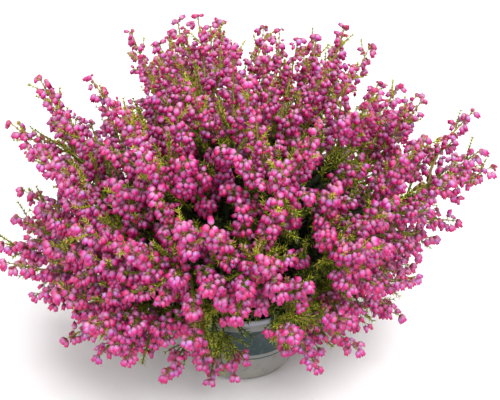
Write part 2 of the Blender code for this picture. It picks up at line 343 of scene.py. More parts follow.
def keep_pattern(name, bm, sides, slot, throat=False):
    """Store a bmesh as arrays: points, corners, face sizes, and each point's place on the palette.

    A point on the axis is in the middle of its palette column, and the others are at its sides or
    spread between them, so that every face stays within the column.
    """
    bm.verts.index_update()
    points = np.array([vertex.co[:] for vertex in bm.verts])
    corners = np.array([vertex.index for face in bm.faces for vertex in face.verts])
    counts = np.array([len(face.verts) for face in bm.faces])
    long = points[:, 2].max()
    side = np.round(np.arctan2(points[:, 1], points[:, 0]) / (math.tau / sides)).astype(int) % sides
    on_axis = np.hypot(points[:, 0], points[:, 1]) < MERGE
    across = np.where(on_axis, 0.5, side / (sides - 1) if sides % 2 else side % 2)
    tone = points[:, 2] / long
    # The point in the middle of a bell's mouth takes the last tone, which the petal ramp paints near black as
    # painted shade in the throat.
    if throat:
        tone = np.where(on_axis & (tone > 0.5), 1.0, tone * LOBE_TONE)
    PATTERNS[name] = dict(points=points, corners=corners, counts=counts, across=across, tone=tone, slot=slot)
    bm.free()
    print(name, "triangles", int((counts - 2).sum()))


# %% The bell and the bud
TIP_BELL_SIDES = 8
BELL_SIDES = 6
PLAIN_BELL_SIDES = 5
BELL_PROFILE = [(0.0, 0.0), (0.00165, 0.0006), (0.00242, 0.0026), (0.00132, 0.0057), (0.0, 0.0048)]
PLAIN_PROFILE = [(0.0, 0.0), (0.00232, 0.0022), (0.00132, 0.0057), (0.0, 0.0048)]
MOUTH_AT = 0.0052
LOBE_OUT = 1.22
LOBE_DOWN = 0.0007
NOTCH_IN = 0.86
NOTCH_UP = 0.0002


def keep_bell(name, profile, sides):
    """A bell of one grade: every second point of its mouth is pulled into a lobe."""
    bm = spun(profile, sides)
    for vertex in bm.verts:
        lobe = round(math.atan2(vertex.co.y, vertex.co.x) / (math.tau / sides)) % 2 == 0
        if vertex.co.z > MOUTH_AT:
            vertex.co.xy = vertex.co.xy * (LOBE_OUT if lobe else NOTCH_IN)
            vertex.co.z += LOBE_DOWN if lobe else -NOTCH_UP
    keep_pattern(name, bm, sides, PETAL, throat=True)


keep_bell("fine_bell", BELL_PROFILE, TIP_BELL_SIDES)
keep_bell("bell", BELL_PROFILE, BELL_SIDES)
keep_bell("plain_bell", PLAIN_PROFILE, PLAIN_BELL_SIDES)

BUD_SIDES = 6
BUD_PROFILE = [(0.0, 0.0), (0.00125, 0.0010), (0.00105, 0.0027), (0.0, 0.0040)]
keep_pattern("bud", spun(BUD_PROFILE, BUD_SIDES), BUD_SIDES, PETAL)

# %% Needles and stalks
NEEDLE_LONG = 0.0052
NEEDLE_HALF = 0.00042
keep_pattern("needle", spike(NEEDLE_HALF, NEEDLE_LONG), SPIKE_SIDES, LEAF)
keep_pattern("stalk", spike(1.0, 1.0), SPIKE_SIDES, LEAF)

# %% [markdown]
# ## A palette map
# A bell's colour changes from stalk to mouth, and no two bells are quite alike. Painting each of
# thousands of bells on its own patch of a map would waste it. Instead the map is a palette: across it
# are 64 columns, one tint each, and up it runs the tone from stalk to tip. Each copy takes one
# column. Petals use the left half, needles the third quarter and stems the last.

# %% Gather copies into one mesh
COLUMNS = 64
BELL_COLUMNS = (0, 15)
LILAC_COLUMNS = (16, 20)
ROSE_COLUMNS = (21, 26)
BUD_COLUMNS = (27, 31)
# The near-black needle columns stand partly for old needles and partly as painted shade deep in the plant;
# the bright ones are partly young growth and partly painted light.
DARK_NEEDLES = (32, 37)
GREEN_NEEDLES = (36, 42)
BRIGHT_NEEDLES = (40, 46)
TAN_NEEDLES = (43, 47)
STEM_COLUMNS = (48, 63)
COLUMN_MARGIN = 0.15
MAP_NAME = "OFBake"
TONE_RANGE = (0.02, 0.98)
NEAR_UPRIGHT = 0.9


class Heap:
    """Copies of patterns, with their places, that become one mesh; well inside its limit bells are plain."""

    def __init__(self, limit=1.0, needles=BRIGHT_NEEDLES):
        self.copies = {name: [] for name in PATTERNS}
        self.limit = limit
        self.needles = needles

    def add(self, name, place, heading, roll, width, length, column):
        """One copy: width and length are its scale across and along, and column is its tint."""
        self.copies[name].append((*place, *heading, roll, width, length, column))

    def arrays(self):
        """Points, corners, face sizes, map places and slots of every copy, one lot after another."""
        lots = []
        offset = 0
        for name, rows in self.copies.items():
            if not rows:
                continue
            pattern = PATTERNS[name]
            *places, column = np.split(np.array(rows), [3, 6, 7, 8, 9], axis=1)
            points = placed(pattern["points"], *places)
            count, each = points.shape[:2]
            corners = (pattern["corners"][None] + each * np.arange(count)[:, None] + offset).ravel()
            across = COLUMN_MARGIN + (1 - 2 * COLUMN_MARGIN) * pattern["across"]
            u = (column + across[None]) / COLUMNS
            v = np.clip(np.broadcast_to(pattern["tone"], u.shape), *TONE_RANGE)
            uv = np.stack([u, v], 2)[:, pattern["corners"]].reshape(-1, 2)
            counts = np.tile(pattern["counts"], count)
            slots = np.full(len(counts), pattern["slot"])
            lots.append((points.reshape(-1, 3), corners, counts, uv, slots))
            offset += each * count
        return lots, offset


def placed(points, place, heading, roll, width, length):
    """The pattern's points at every copy's place, turned to its heading."""
    heading = heading / np.linalg.norm(heading, axis=1, keepdims=True)
    helper = np.where(np.abs(heading[:, 2:]) < NEAR_UPRIGHT, [[0.0, 0.0, 1.0]], [[1.0, 0.0, 0.0]])
    first = np.cross(helper, heading)
    first /= np.linalg.norm(first, axis=1, keepdims=True)
    second = np.cross(heading, first)
    x_axis = first * np.cos(roll) + second * np.sin(roll)
    y_axis = second * np.cos(roll) - first * np.sin(roll)
    x, y, z = (points[None, :, axis, None] for axis in range(3))
    flat = x * x_axis[:, None] + y * y_axis[:, None]
    return place[:, None] + width[:, None] * flat + length[:, None] * z * heading[:, None]


# %% Stems as bevelled curves
STEM_TONE_REACH = 0.24
CORNER_ACROSS = np.array([0.0, 1.0, 1.0, 0.0])
CORNER_UP = np.array([0.0, 0.0, 0.02, 0.02])
BARK_COLUMN = STEM_COLUMNS[0]


def bevelled(lines):
    """One mesh of square tubes through points, with a radius at every point."""
    data = bpy.data.curves.new("stems", "CURVE")
    data.dimensions = "3D"
    data.bevel_depth = 1.0
    data.bevel_resolution = 0
    data.use_fill_caps = True
    for points, radii in lines:
        spline = data.splines.new("POLY")
        spline.points.add(len(points) - 1)
        for point, place, radius in zip(spline.points, points, radii):
            point.co = (*place, 1.0)
            point.radius = radius
    holder = bpy.data.objects.new("stems_holder", data)
    mesh = bpy.data.meshes.new_from_object(holder)
    bpy.data.objects.remove(holder)
    bpy.data.curves.remove(data)
    return mesh


def read(items, field, kind, each=1):
    """One field of a mesh's points, corners or faces, as an array."""
    values = np.empty(len(items) * each, kind)
    items.foreach_get(field, values)
    return values


class Stems:
    """Lines with a thickness at every point, kept by palette column."""

    def __init__(self):
        self.lines = {}

    def add(self, points, thick, thin, column=BARK_COLUMN):
        """One stem through these points, tapering from thick to thin (radii)."""
        self.add_line(points, np.linspace(thick, thin, len(points)), column)

    def add_line(self, points, radii, column):
        """One stem through these points, with a radius for each."""
        self.lines.setdefault(column, []).append((points, radii))

    def arrays(self, offset):
        """The stems' meshes as the arrays that Heap.arrays gives."""
        lots = []
        for column, lines in self.lines.items():
            mesh = bevelled(lines)
            points = read(mesh.vertices, "co", float, 3).reshape(-1, 3)
            corners = read(mesh.loops, "vertex_index", int)
            counts = read(mesh.polygons, "loop_total", int)
            bpy.data.meshes.remove(mesh)
            # The tone is the reach from the crown: stems go from dark wood to tan, and lines in leaf columns
            # are painted darker deep in the plant, as shade.
            tone = np.linalg.norm(points - CROWN, axis=1) / STEM_TONE_REACH
            corner = np.concatenate([np.arange(count) % 4 for count in counts])
            u = (column + COLUMN_MARGIN + (1 - 2 * COLUMN_MARGIN) * CORNER_ACROSS[corner]) / COLUMNS
            v = np.clip(tone[corners] + CORNER_UP[corner], *TONE_RANGE)
            slots = np.full(len(counts), LEAF)
            lots.append((points, corners + offset, counts, np.stack([u, v], 1), slots))
            offset += len(points)
        return lots


# %% Write the arrays into a mesh
copies_made = dict.fromkeys(PATTERNS, 0)


def build_mesh(name, heap, stems):
    """One smooth mesh of all the copies and stems, with its palette map."""
    lots, offset = heap.arrays()
    lots.extend(stems.arrays(offset))
    for kind, rows in heap.copies.items():
        copies_made[kind] += len(rows)
    points, corners, counts, uv, slots = (np.concatenate(column) for column in zip(*lots))
    mesh = bpy.data.meshes.new(name)
    mesh.vertices.add(len(points))
    mesh.vertices.foreach_set("co", points.ravel())
    mesh.loops.add(len(corners))
    mesh.loops.foreach_set("vertex_index", corners.astype(np.int32))
    mesh.polygons.add(len(counts))
    mesh.polygons.foreach_set("loop_start", np.concatenate([[0], np.cumsum(counts)[:-1]]).astype(np.int32))
    mesh.polygons.foreach_set("material_index", slots.astype(np.int32))
    mesh.polygons.foreach_set("use_smooth", np.ones(len(counts), bool))
    mesh.update(calc_edges=True)
    mesh.uv_layers.new(name=MAP_NAME).uv.foreach_set("vector", uv.ravel().astype(np.float32))
    return mesh


def count_triangles(mesh):
    """How many triangles a mesh's faces make."""
    return len(mesh.loops) - 2 * len(mesh.polygons)


# %% [markdown]
# ## Petal and leaf materials
# Both read the palette map: the height on it gives the tone from stalk to tip, and the column gives
# each copy's own tint. A bell is greenish-red at the stalk, pale orchid pink on its shoulder and deep
# magenta at the mouth: partly its own colour, partly a painted highlight on the shoulder, which faces
# up, and painted shade on the lower part. Its throat is near black as painted shade. Bells deep in the
# plant more often take the darker rose tints, as painted shade. A needle is dark deep in the plant,
# partly from age and partly as painted shade, and yellow-green outside, partly young growth and partly
# painted light. It is tan on the topmost spires.

# %% Colour from the palette
def ramp_node(tree, fac, stops):
    """A colour ramp over a value, from (position, colour) stops."""
    node = tree.nodes.new("ShaderNodeValToRGB")
    elements = node.color_ramp.elements
    while len(elements) < len(stops):
        elements.new(0.5)
    for element, (position, colour) in zip(elements, stops):
        element.position = position
        element.color = (*colour, 1.0)
    tree.links.new(fac, node.inputs["Fac"])
    return node.outputs["Color"]


def grey_ramp(tree, fac, stops):
    """A ramp of greys over a value, from (position, level) stops."""
    return ramp_node(tree, fac, [(position, (level,) * 3) for position, level in stops])


def mix_node(tree, kind, fac, a, b):
    """Mix two colours; fac is a number or a socket."""
    node = tree.nodes.new("ShaderNodeMix")
    node.data_type = "RGBA"
    node.blend_type = kind
    if isinstance(fac, float):
        node.inputs["Factor"].default_value = fac
    else:
        tree.links.new(fac, node.inputs["Factor"])
    tree.links.new(a, node.inputs["A"])
    tree.links.new(b, node.inputs["B"])
    return node.outputs["Result"]


def math_node(tree, operation, first, second):
    """A sum on two values, each a number or a socket."""
    node = tree.nodes.new("ShaderNodeMath")
    node.operation = operation
    for socket, value in zip(node.inputs, (first, second)):
        if isinstance(value, float):
            socket.default_value = value
        else:
            tree.links.new(value, socket)
    return node.outputs["Value"]


def palette_sockets(tree):
    """The palette map's column and tone, from 0 to 1 each."""
    uv = tree.nodes.new("ShaderNodeUVMap")
    uv.uv_map = MAP_NAME
    split = tree.nodes.new("ShaderNodeSeparateXYZ")
    tree.links.new(uv.outputs["UV"], split.inputs["Vector"])
    return split.outputs["X"], split.outputs["Y"]


# %% Petals
petal, tree, shader = principled("bell_petals", roughness=0.40)
column, tone = palette_sockets(tree)
# Stalk to mouth: greenish-red calyx, a pale shoulder that is partly a painted highlight, a deep magenta lower
# part that is partly painted shade, and a near-black throat that is painted shade.
along_bell = ramp_node(tree, tone, [
    (0.00, (0.20, 0.12, 0.03)), (0.06, (0.48, 0.08, 0.14)), (0.15, (0.49, 0.235, 0.385)),
    (0.42, (0.51, 0.130, 0.350)), (0.62, (0.53, 0.021, 0.215)), (0.80, (0.47, 0.003, 0.115)),
    (0.93, (0.44, 0.03, 0.17)), (1.00, (0.10, 0.00, 0.02))])
tint = ramp_node(tree, column, [
    (0.00, (1.00, 1.00, 1.00)), (0.08, (1.05, 1.20, 1.12)), (0.15, (0.92, 0.70, 0.86)),
    (0.24, (0.96, 0.85, 0.95)), (0.27, (0.92, 1.25, 1.30)), (0.32, (0.86, 1.00, 1.18)),
    (0.35, (1.02, 0.75, 0.84)), (0.41, (0.94, 0.42, 0.58)), (0.44, (0.78, 0.18, 0.34)),
    (0.50, (0.70, 0.12, 0.24))])
tree.links.new(mix_node(tree, "MULTIPLY", 1.0, along_bell, tint), shader.inputs["Base Color"])
shader.inputs["Specular IOR Level"].default_value = 0.45

# %% Fine mottling
NEEDLE_MOTTLE = 650.0


def noise(tree, scale, detail=2.0):
    """A noise on object coordinates, from 0 to 1."""
    coordinates = tree.nodes.new("ShaderNodeTexCoord")
    node = tree.nodes.new("ShaderNodeTexNoise")
    node.inputs["Scale"].default_value = scale
    node.inputs["Detail"].default_value = detail
    tree.links.new(coordinates.outputs["Object"], node.inputs["Vector"])
    return node.outputs["Fac"]


def mottle(tree, scale, low, high):
    """A grey that wanders between two levels, to multiply a colour by."""
    return grey_ramp(tree, noise(tree, scale), [(0.36, low), (0.64, high)])


# %% Needles and stems
leaf, tree, shader = principled("needles_and_twigs", roughness=0.55)
shader.inputs["Specular IOR Level"].default_value = 0.25
column, tone = palette_sockets(tree)
# Needle columns run from near black, partly painted shade, through green to bright yellow-green, partly
# painted light, and tan.
needle_tint = ramp_node(tree, column, [
    (0.50, (0.007, 0.010, 0.003)), (0.53, (0.016, 0.024, 0.006)), (0.57, (0.040, 0.060, 0.010)),
    (0.63, (0.140, 0.180, 0.016)), (0.68, (0.34, 0.40, 0.025)), (0.71, (0.56, 0.58, 0.050)),
    (0.74, (0.46, 0.26, 0.060))])
# Darker towards a needle's base and paler at its tip; on lines in leaf columns the tone is the reach from the
# crown, so they are painted darker deep in the plant, as shade.
needle_along = ramp_node(tree, tone, [
    (0.00, (0.60, 0.62, 0.55)), (0.50, (1.0, 1.0, 1.0)), (1.00, (1.20, 1.10, 0.85))])
needle_colour = mix_node(tree, "MULTIPLY", 1.0, needle_tint, needle_along)
stem_colour = ramp_node(tree, tone, [
    (0.00, (0.040, 0.024, 0.015)), (0.35, (0.075, 0.045, 0.022)), (0.60, (0.19, 0.13, 0.050)),
    (1.00, (0.30, 0.20, 0.080))])
needle_colour = mix_node(tree, "MULTIPLY", 1.0, needle_colour, mottle(tree, NEEDLE_MOTTLE, 0.45, 1.55))
is_stem = math_node(tree, "GREATER_THAN", column, STEM_COLUMNS[0] / COLUMNS)
tree.links.new(mix_node(tree, "MIX", is_stem, needle_colour, stem_colour), shader.inputs["Base Color"])

# %% [markdown]
# ## A flowering spire
# On the real plant a spire is a thin woody stem with needles held close to it and very short twigs
# all round. Each twig ends in an umbel, three or four bells on short stalks, and every bell nods: it
# leaves outwards and turns down. Twigs leave by the golden angle, which keeps them even on all sides.
# Longer side twigs fork off low down and carry umbels of their own, and short leafy sprigs grow
# between, so a spire isn't a bottle brush. Near its tip the stem shows bare below the last umbel.

# %% Rings of needles and umbels of bells
DOWN = Vector((0.0, 0.0, -1.0))
GOLDEN = math.radians(137.5)
STALK_LONG = (0.0018, 0.0030)
STALK_HALF = 0.00038
BELL_SIZE = (0.88, 1.14)
BELL_STRAY = 0.15
STALK_OPEN = (0.75, 1.15)
STALK_OVERLAP = 0.95
HANG_OUT = (0.35, 1.00)
HANG_DOWN = (0.45, 1.05)
YOUNG_BELL_SHARE = 0.5
YOUNG_BELL_SIZE = 0.72
# Nearer the crown than this share of the head's reach, bells are plain, and more of them take the
# darker rose tints, as painted shade deep in the plant
PLAIN_REACH = 0.86
OUTER_SHARES = (0.62, 0.74)
INNER_SHARES = (0.42, 0.48)
RING_NEEDLES = 4
NEEDLE_STRAY = 0.3
NEEDLE_FOLLOW = (0.75, 1.25)
NEEDLE_VARY = (0.75, 1.10)
rng = random.Random(0)


def reach(place):
    """How far a place is from the crown, where the branches spring from."""
    return np.linalg.norm(np.asarray(place) - CROWN)


def along(pair, share):
    """The value at a share of the way from the first of a pair to the second."""
    return pair[0] + (pair[1] - pair[0]) * share


def around(heading, angle):
    """The unit vector square to a heading, at an angle round it."""
    helper = Vector((0, 0, 1)) if abs(heading.z) < NEAR_UPRIGHT else Vector((1, 0, 0))
    first = helper.cross(heading).normalized()
    return first * math.cos(angle) + heading.cross(first) * math.sin(angle)


def needle_ring(heap, place, heading, count, lean, size, columns):
    """Needles round a stem; the lean is how much they follow it. Larger ones are stouter too."""
    turn = rng.uniform(0, math.tau)
    for index in range(count):
        angle = turn + math.tau * index / count + rng.uniform(-NEEDLE_STRAY, NEEDLE_STRAY)
        way = around(heading, angle) + heading * lean * rng.uniform(*NEEDLE_FOLLOW)
        long = size * rng.uniform(*NEEDLE_VARY)
        heap.add("needle", place, way, angle, size ** 2, long, rng.randint(*columns))


def bell_column(pink_share, lilac_share):
    """A petal column: pinks up to the first share, lilac up to the second, and rose past it."""
    pick = rng.random()
    if pick < pink_share:
        return rng.randint(*BELL_COLUMNS)
    return rng.randint(*(LILAC_COLUMNS if pick < lilac_share else ROSE_COLUMNS))


def umbel(heap, end, nod, count, size, young, bell="bell"):
    """Bells on short stalks round the end of a twig; young is the share of buds and small rose bells."""
    turn = rng.uniform(0, math.tau)
    shares = OUTER_SHARES
    # Deep in the plant bells are plain and take the darker rose tints more often: painted shade.
    if reach(end) < PLAIN_REACH * heap.limit:
        bell, shares = "plain_bell", INNER_SHARES
    for index in range(count):
        angle = turn + math.tau * (index + rng.uniform(-BELL_STRAY, BELL_STRAY)) / count
        leaving = (nod + around(nod, angle) * rng.uniform(*STALK_OPEN)).normalized()
        stalk = size * rng.uniform(*STALK_LONG)
        hanging = leaving * rng.uniform(*HANG_OUT) + DOWN * rng.uniform(*HANG_DOWN)
        place = end + leaving * stalk * STALK_OVERLAP
        heap.add("stalk", end + leaving * stalk, -leaving, 0.0, STALK_HALF, stalk, rng.randint(*STEM_COLUMNS))
        scale = size * rng.uniform(*BELL_SIZE)
        if rng.random() < young:
            if rng.random() < YOUNG_BELL_SHARE:
                scale *= YOUNG_BELL_SIZE
                heap.add(bell, place, hanging, angle, scale, scale, rng.randint(*ROSE_COLUMNS))
            else:
                heap.add("bud", place, hanging, angle, scale, scale, rng.randint(*BUD_COLUMNS))
        else:
            heap.add(bell, place, hanging, rng.uniform(0, math.tau), scale, scale, bell_column(*shares))


# %% A stem that carries umbels
NODE_STEP = 0.0039
TWIG_LONG = (0.0022, 0.0046)
TWIG_HALF = 0.00045
TWIG_FORWARDS = 0.7
TWIG_SCALE = (1.15, 0.70)
TWIG_RING = 2
TWIG_NEEDLE_SIZE = 0.70
TIP_HALF = 0.0005
RING_STEP = 0.0045
RING_LEAN = 1.5
STEP_STRAY = (0.2, 0.8)
BARE_TIP = (0.0020, 0.0045)
CROWDING = 0.85
CORE_SHADE = 1
TWIG_BELLS = (3, 3, 4)
TIP_BELLS = (3, 4, 5)


def leafy_line(heap, stems, curve, halves, step, lean, size, columns, steps=6, core=None):
    """A stem along a curve, with its radii at both ends and rings of needles; returns how long it is.

    The needles stand so close that they hide the stem, so the line is as thick as their lower parts
    together, and unless another is given it takes a darker leaf column, as painted shade among them.
    """
    line = [Vector(bezier(curve, index / steps)) for index in range(steps + 1)]
    stems.add(line, *halves, core or max(DARK_NEEDLES[0], columns[0] - CORE_SHADE))
    long = sum((b - a).length for a, b in zip(line, line[1:]))
    rings = max(2, round(long / step))
    for ring in range(rings):
        t = (ring + rng.uniform(*STEP_STRAY)) / rings
        place, heading = Vector(bezier(curve, t)), Vector(bezier_heading(curve, t))
        needle_ring(heap, place, heading, RING_NEEDLES, lean, size, columns)
    return long


def flowering_stem(heap, stems, curve, thick, size, first, young, core=None):
    """A leafy stem with umbels on short twigs from a share of its length up, and one at its tip."""
    halves = (thick, TIP_HALF)
    long = leafy_line(heap, stems, curve, halves, RING_STEP, RING_LEAN, size, heap.needles, 4, core)
    last = max(first + 0.1, 1.0 - rng.uniform(*BARE_TIP) * size / long)
    count = max(1, round(long * (last - first) / (NODE_STEP * size)))
    angle = rng.uniform(0, math.tau)
    for index in range(count):
        t = along((first, last), ((index + rng.uniform(0.1, 0.9)) / count) ** CROWDING)
        place, heading = Vector(bezier(curve, t)), Vector(bezier_heading(curve, t))
        angle += GOLDEN + rng.uniform(-0.3, 0.3)
        out = around(heading, angle)
        leaving = (out + heading * TWIG_FORWARDS).normalized()
        twig = size * rng.uniform(*TWIG_LONG) * along(TWIG_SCALE, t)
        end = place + leaving * twig
        heap.add("stalk", place, leaving, 0.0, TWIG_HALF, twig, rng.randint(*STEM_COLUMNS))
        halfway = place + leaving * twig * 0.5
        needle_ring(heap, halfway, leaving, TWIG_RING, 1.0, TWIG_NEEDLE_SIZE * size, heap.needles)
        nod = (out + heading * 0.15 + DOWN * 0.35).normalized()
        umbel(heap, end, nod, rng.choice(TWIG_BELLS), size, young)
    heading = Vector(bezier_heading(curve, 1.0))
    nod = (heading + DOWN * 0.3).normalized()
    umbel(heap, Vector(bezier(curve, 1.0)), nod, rng.choice(TIP_BELLS), size, young, "fine_bell")


# %% A whole spire
SPIRE_HALF = 0.0015
SIDE_STEMS = 2
SIDE_STEM_T = (0.15, 0.60)
SIDE_STEM_LONG = (0.016, 0.026)
SIDE_STEM_SCALE = (1.10, 0.60)
SIDE_STEM_HALF = 0.0008
SIDE_STEM_SPREAD = 0.75
SIDE_STEM_SIZE = 0.95
SIDE_FIRST = 0.35
SPRIG_LONG = (0.013, 0.022)
SPRIG_HALVES = (0.0008, 0.0003)
SPRIG_RING_STEP = 0.0028
# In these three, the value under True is for heads close to the pot
FLOWER_FIRST = {False: 0.10, True: 0.60}
SPRIGS = {False: 4, True: 6}
SPRIG_T = {False: (0.20, 0.90), True: (0.05, 0.65)}


def side_curve(curve, t, angle, long, spread, rise=0.0):
    """A twig's curve that forks off another at t, bending forwards as it grows."""
    place, heading = Vector(bezier(curve, t)), Vector(bezier_heading(curve, t))
    out = around(heading, angle)
    leaving = (heading + out * spread).normalized()
    middle = place + leaving * long * 0.5
    end = middle + (leaving + heading * 0.5).normalized() * long * 0.5 + Vector((0, 0, rise))
    return [np.array(place), np.array(middle), np.array(end)]


def dress_spire(heap, stems, curve, size, young, close):
    """The main stem of a spire, and the side stems and leafy sprigs that fork off it."""
    first = FLOWER_FIRST[close]
    flowering_stem(heap, stems, curve, SPIRE_HALF, size, first, young, BARK_COLUMN)
    angle = rng.uniform(0, math.tau)
    for index in range(SIDE_STEMS):
        t = rng.uniform(*SIDE_STEM_T)
        angle += math.tau / SIDE_STEMS + rng.uniform(-0.4, 0.4)
        long = size * rng.uniform(*SIDE_STEM_LONG) * along(SIDE_STEM_SCALE, t)
        side = side_curve(curve, t, angle, long, SIDE_STEM_SPREAD)
        flowering_stem(heap, stems, side, SIDE_STEM_HALF, size * SIDE_STEM_SIZE,
                       max(SIDE_FIRST, first), young, BARK_COLUMN)
    for index in range(SPRIGS[close]):
        t = along(SPRIG_T[close], (index + rng.random()) / SPRIGS[close])
        angle += GOLDEN
        sprig = side_curve(curve, t, angle, size * rng.uniform(*SPRIG_LONG), 1.0)
        leafy_line(heap, stems, sprig, SPRIG_HALVES, SPRIG_RING_STEP, 1.0, size, heap.needles, steps=2)


# %% [markdown]
# ## The flower heads
# Each head has three spires, and flowerless leafy shoots between them, because young green growth
# shows all over the real plant. The topmost heads still carry many crimson buds, and their needles are
# tan. Heads close to the pot flower only towards their tips, and have more leafy shoots and sprigs, so
# that the plant is greener low down, as heathers are.

# %% Make the flower heads
# A head that reaches less than this from the crown is close to the pot, and has the count under True
CLOSE_REACH = 0.178
LEAFY_SHOOTS = {False: 3, True: 6}
LEAFY_SHOOT_LONG = (0.028, 0.045)
LEAFY_SHOOT_SPREAD = (0.10, 0.50)
LEAFY_SHOOT_HALVES = (0.0013, 0.0004)
LEAFY_SHOOT_STUB = 0.01
LEAFY_RING_STEP = 0.0030
LEAFY_LEAN = 1.1
LEAFY_NEEDLE_SIZE = 1.05
HEAD_STUB_HALF = 0.0008
# Between these heights a head's base goes from lowest to topmost
HEAD_HEIGHTS = (0.08, 0.23)
BUD_SHARE = (0.14, 0.54)
FLOWER_SIZE = (1.14, 0.94)
CLOSE_FLOWER_SIZE = 1.0
TAN_FROM = 0.5


def head_reach(head):
    """How far the tips of a head's spires reach from the crown."""
    return max(reach(curve[2]) for curve in head["spires"])


def finish_piece(name, mesh, node):
    """Give a mesh its materials, hang it on the root body and hide the node it stands for; return its
    triangles.
    """
    mesh.materials.append(petal)
    mesh.materials.append(leaf)
    piece = add_object(name, mesh)
    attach(piece, "root")
    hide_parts(node)
    return count_triangles(mesh)


triangles = {}
for branch in plant:
    for shoot in branch["shoots"]:
        head = shoot["head"]
        rng.seed(head["name"])
        base, axis = head["base"], head["axis"]
        height = (base[2] - HEAD_HEIGHTS[0]) / (HEAD_HEIGHTS[1] - HEAD_HEIGHTS[0])
        high = min(1.0, max(0.0, height))
        limit = head_reach(head)
        close = limit < CLOSE_REACH
        size = CLOSE_FLOWER_SIZE if close else along(FLOWER_SIZE, high)
        young = along(BUD_SHARE, high ** 2)
        heap, stems = Heap(limit, TAN_NEEDLES if high > TAN_FROM else BRIGHT_NEEDLES), Stems()
        stems.add([base, base + axis * STUB_LONG], HEAD_STUB_HALF, HEAD_STUB_HALF)
        for curve in head["spires"]:
            dress_spire(heap, stems, curve, size, young, close)
        for index in range(LEAFY_SHOOTS[close]):
            angle = math.tau * (index + rng.random()) / LEAFY_SHOOTS[close]
            long = head["size"] * rng.uniform(*LEAFY_SHOOT_LONG)
            straight = [base, base + axis * LEAFY_SHOOT_STUB]
            twig = side_curve(straight, 0.5, angle, long, rng.uniform(*LEAFY_SHOOT_SPREAD))
            leafy_line(heap, stems, twig, LEAFY_SHOOT_HALVES, LEAFY_RING_STEP, LEAFY_LEAN,
                       LEAFY_NEEDLE_SIZE, BRIGHT_NEEDLES)
        name = head["name"].replace("blooms", "bells")
        triangles[name] = finish_piece(name, build_mesh(name, heap, stems), head["name"])
print("flower heads", len(triangles), "triangles", sum(triangles.values()))

# %% [markdown]
# ## Where the twigs go
# Under the flowers a heather is a thicket: light hardly reaches its middle, and few gaps show right
# through it. Each shoot gets leafy twigs all round, small flowering ones, and then more leafy ones for
# the gaps. For those last two, many twigs are drawn and the one is kept whose end has most room: the
# farthest from any flower for a flowering twig, and from any leaf or flower for a leafy one. It is a
# simple rule that fills a volume evenly. An end with too much room is left out, and near the outline
# less is too much, so that the arms of the plant stay apart.

# %% Draw twigs and keep the one with most room
TWIG_T = (0.10, 0.98)
LEAFY_TWIGS = 7
LEAFY_LONG = (0.024, 0.042)
LEAFY_RISE = 0.003
# Under True is the count for heads close to the pot
INFILL_STEMS = {False: 8, True: 3}
INFILL_T = (0.35, 1.00)
INFILL_LONG = (0.035, 0.065)
GAP_TWIGS = 7
GAP_T = (0.10, 1.00)
GAP_LONG = (0.034, 0.062)
TRIED_SPREADS = (0.5, 1.4)
TRIES = 40
FLOWER_REACH = (0.52, 0.95)
LEAF_REACH = (0.20, 0.72)
ROOM_MOST = 0.027
INNER_ROOM_MOST = 0.045
FLOWER_INNER = 0.82
LEAF_INNER = 0.60
SPIRE_MARKS = (0.35, 0.6, 0.85)
POT_CLEAR = 0.060
POT_CLEAR_HEIGHT = 0.135
LEAFY_ABOVE = 0.078


def roomy_twig(shoot, t_range, long_range, reach_range, inner, marks):
    """The side twig, of many tried, whose end is farthest from the marks so far.

    An end may have more room inside the given share of the shoot's reach than outside it.
    """
    best, best_room = None, 0.0
    taken = np.array(marks)
    for _ in range(TRIES):
        twig = side_curve(shoot["curve"], rng.uniform(*t_range), rng.uniform(0, math.tau),
                          rng.uniform(*long_range), rng.uniform(*TRIED_SPREADS))
        x, y, z = twig[2]
        before_pot = y < 0 and abs(x) < POT_CLEAR and z < POT_CLEAR_HEIGHT
        share = reach(twig[2]) / shoot["limit"]
        if not reach_range[0] < share < reach_range[1] or z < CROWN[2] or before_pot:
            continue
        room = np.linalg.norm(taken - twig[2], axis=1).min()
        if best_room < room < (INNER_ROOM_MOST if share < inner else ROOM_MOST):
            best, best_room = twig, room
    if best:
        marks.extend([best[1], best[2]])
    return best


# %% Plan every shoot's twigs
rng.seed("twigs")
shoots = [shoot for branch in plant for shoot in branch["shoots"]]
spires = [curve for shoot in shoots for curve in shoot["head"]["spires"]]
flowers = [bezier(curve, t) for curve in spires for t in SPIRE_MARKS]
leaves = []
for shoot in shoots:
    shoot["limit"] = head_reach(shoot["head"])
    shoot["leafy"] = []
    angle = rng.uniform(0, math.tau)
    for index in range(LEAFY_TWIGS):
        t = along(TWIG_T, (index + rng.uniform(*STEP_STRAY)) / LEAFY_TWIGS)
        angle += GOLDEN
        twig = side_curve(shoot["curve"], t, angle, rng.uniform(*LEAFY_LONG), 1.0, rise=LEAFY_RISE)
        if shoot["head"]["size"] == 1.0 or twig[2][2] > LEAFY_ABOVE:
            shoot["leafy"].append(twig)
            leaves.append(twig[2])
for shoot in shoots:
    count = INFILL_STEMS[shoot["limit"] < CLOSE_REACH]
    drawn = [roomy_twig(shoot, INFILL_T, INFILL_LONG, FLOWER_REACH, FLOWER_INNER, flowers)
             for _ in range(count)]
    shoot["flowering"] = [twig for twig in drawn if twig]
marks = flowers + leaves
for shoot in shoots:
    drawn = [roomy_twig(shoot, GAP_T, GAP_LONG, LEAF_REACH, LEAF_INNER, marks) for _ in range(GAP_TWIGS)]
    shoot["filling"] = [twig for twig in drawn if twig]
print("flowering twigs", sum(len(shoot["flowering"]) for shoot in shoots),
      "filling twigs", sum(len(shoot["filling"]) for shoot in shoots))

